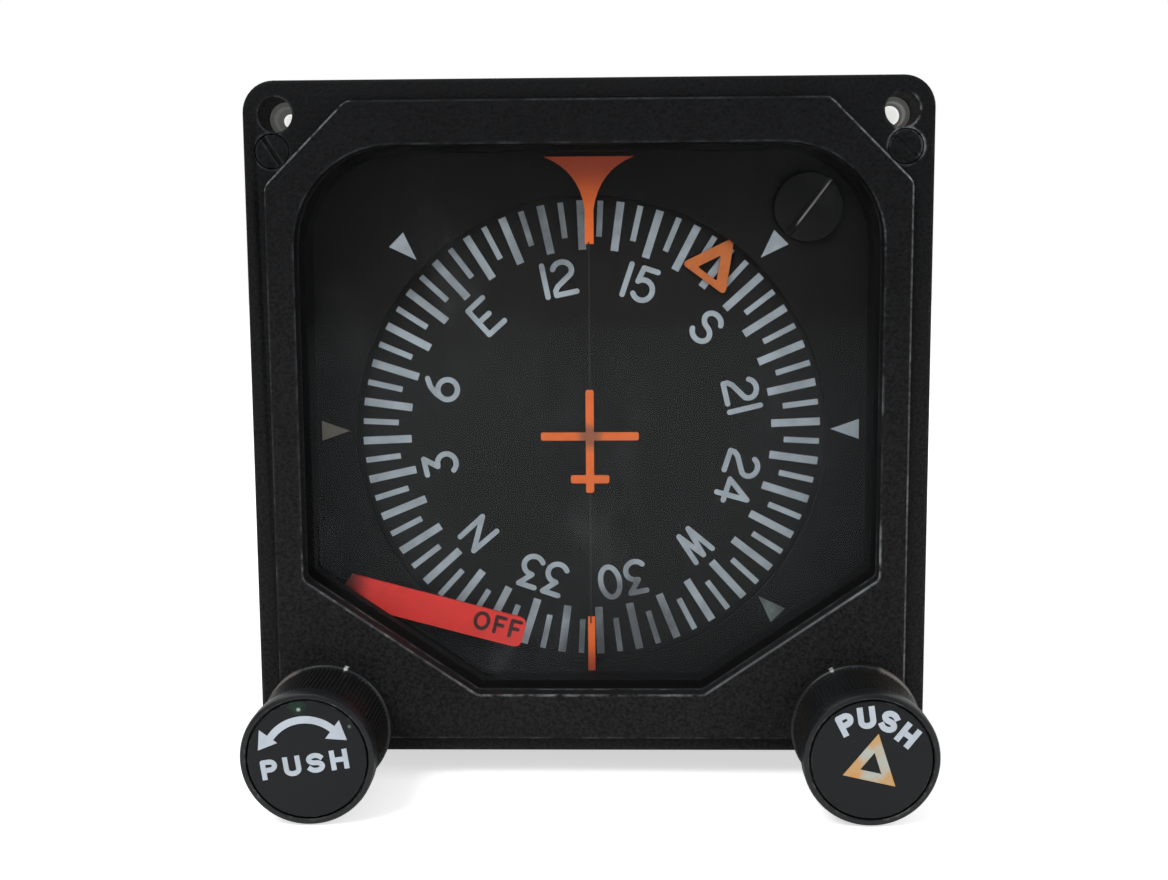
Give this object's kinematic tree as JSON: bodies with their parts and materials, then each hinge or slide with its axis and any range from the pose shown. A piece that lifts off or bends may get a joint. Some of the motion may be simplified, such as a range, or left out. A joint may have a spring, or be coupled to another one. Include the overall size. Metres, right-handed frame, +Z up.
{
  "type": "aircraft directional gyro",
  "caption": "Square panel gyro instrument: turning compass card behind a glass window, heading bug, warning flag, two push-and-turn knobs, gimballed rotor in a rear case.",
  "frame": {"origin": "middle of the square bezel, on the front plane of its flange", "axes": "+Y rearward along the case, +X right and +Z up as seen by the pilot"},
  "size_m": [0.0826, 0.1444, 0.0861],
  "materials": {
    "bezel_paint": "worn wrinkle paint, charcoal",
    "case_paint": "satin black paint",
    "knob_plastic": "fluted, satin to gloss",
    "dial_black": "matt black with pale printing",
    "gasket_rubber": "matt",
    "window_glass": "polished, smudged",
    "orange_paint": "matt orange",
    "red_paint": "matt red",
    "steel": "turned",
    "brass": "machined",
    "aluminium": "machined",
    "nylon": "moulded, cream",
    "board": "green circuit board",
    "lacquer": "brown lacquer"
  },
  "bodies": {
    "housing": {"bezel": "bezel_paint", "flange_screw_left": "bezel_paint", "flange_screw_right": "bezel_paint", "mount_insert_left": "nylon", "mount_insert_right": "nylon", "window_gasket": "gasket_rubber", "window_glass": "window_glass", "window_frame": "dial_black", "mask_plate": "dial_black", "access_plug": "knob_plastic", "lubber_pointer": "orange_paint", "lower_lubber": "orange_paint", "aircraft_symbol": "orange_paint", "sync_bushing": "brass", "sync_spring": "steel", "heading_bushing": "brass", "heading_spring": "steel", "flag_motor": "lacquer", "gyro_frame": "aluminium", "card_bearing": "steel", "gimbal_top_bearing": "steel", "gimbal_bottom_bearing": "steel", "brush_block": "lacquer", "circuit_board": "board", "transformer": "lacquer", "case": "case_paint", "rear_cover": "case_paint", "cover_screw_1": "steel", "cover_screw_2": "steel", "cover_screw_3": "steel", "cover_screw_4": "steel", "connector_shell": "aluminium", "connector_insert": "gasket_rubber"},
    "card": {"compass_card": "dial_black", "card_shaft": "steel", "card_gear": "brass", "card_bevel_gear": "brass"},
    "bug": {"heading_bug": "orange_paint", "bug_ring_gear": "brass"},
    "outer_gimbal": {"outer_gimbal": "aluminium", "gimbal_bevel_gear": "brass", "slip_rings": "brass"},
    "inner_gimbal": {"inner_gimbal": "aluminium", "rotor_front_bearing": "steel", "rotor_rear_bearing": "steel"},
    "rotor": {"rotor": "brass"},
    "flag": {"warning_flag": "red_paint", "flag_arbor": "steel"},
    "sync_carrier": {"sync_gear_carrier": "aluminium"},
    "sync_knob": {"sync_knob": "knob_plastic", "sync_knob_cap": "knob_plastic", "sync_set_screw": "steel", "sync_shaft": "steel"},
    "sync_idler": {"sync_idler_gear": "brass"},
    "heading_carrier": {"heading_gear_carrier": "aluminium"},
    "heading_knob": {"heading_knob": "knob_plastic", "heading_knob_cap": "knob_plastic", "heading_set_screw": "steel", "heading_shaft": "steel"},
    "heading_idler": {"heading_idler_gear": "brass"}
  },
  "joints": [
    {"name": "gimbal_azimuth", "type": "hinge", "parent": "housing", "child": "outer_gimbal", "pos_m": [0, 0.058, -0.0021], "axis": [0, 0, 1], "continuous": true},
    {"name": "gimbal_tilt", "type": "hinge", "parent": "outer_gimbal", "child": "inner_gimbal", "pos_m": [0, 0.058, -0.0021], "axis": [1, 0, 0], "range_deg": [-55, 55]},
    {"name": "rotor_spin", "type": "hinge", "parent": "inner_gimbal", "child": "rotor", "pos_m": [0, 0.058, -0.0021], "axis": [0, 1, 0], "continuous": true},
    {"name": "card_turn", "type": "hinge", "parent": "housing", "child": "card", "pos_m": [0, 0.0098, -0.0021], "axis": [0, 1, 0], "continuous": true},
    {"name": "bug_set", "type": "hinge", "parent": "card", "child": "bug", "pos_m": [0, 0.0092, -0.0021], "axis": [0, 1, 0], "continuous": true},
    {"name": "flag_swing", "type": "hinge", "parent": "housing", "child": "flag", "pos_m": [-0.0377, 0.0064, -0.008], "axis": [0, 1, 0], "range_deg": [0, 17], "stiffness_Nm_per_rad": 0.0005, "springref_deg": -20.05},
    {"name": "sync_push", "type": "slide", "parent": "housing", "child": "sync_carrier", "axis": [0, 1, 0], "range_m": [0, 0.002], "stiffness_N_per_m": 800, "springref_m": -0.002, "deforming": ["sync_spring"]},
    {"name": "sync_turn", "type": "hinge", "parent": "sync_carrier", "child": "sync_knob", "pos_m": [-0.0323, 0, -0.0369], "axis": [0, 1, 0], "continuous": true},
    {"name": "sync_idler_turn", "type": "hinge", "parent": "sync_carrier", "child": "sync_idler", "pos_m": [-0.02704, 0, -0.03123], "axis": [0, 1, 0], "continuous": true},
    {"name": "heading_push", "type": "slide", "parent": "housing", "child": "heading_carrier", "axis": [0, 1, 0], "range_m": [0, 0.002], "stiffness_N_per_m": 800, "springref_m": -0.002, "deforming": ["heading_spring"]},
    {"name": "heading_turn", "type": "hinge", "parent": "heading_carrier", "child": "heading_knob", "pos_m": [0.0323, 0, -0.0369], "axis": [0, 1, 0], "continuous": true},
    {"name": "heading_idler_turn", "type": "hinge", "parent": "heading_carrier", "child": "heading_idler", "pos_m": [0.02676, 0, -0.03093], "axis": [0, 1, 0], "continuous": true}
  ],
  "couplings": [
    {"joint": "card_turn", "follows": "gimbal_azimuth", "ratio": -1},
    {"joint": "bug_set", "follows": "heading_turn", "ratio": 0.071429},
    {"joint": "sync_idler_turn", "follows": "sync_turn", "ratio": -0.46154},
    {"joint": "heading_idler_turn", "follows": "heading_turn", "ratio": -0.42857}
  ]
}
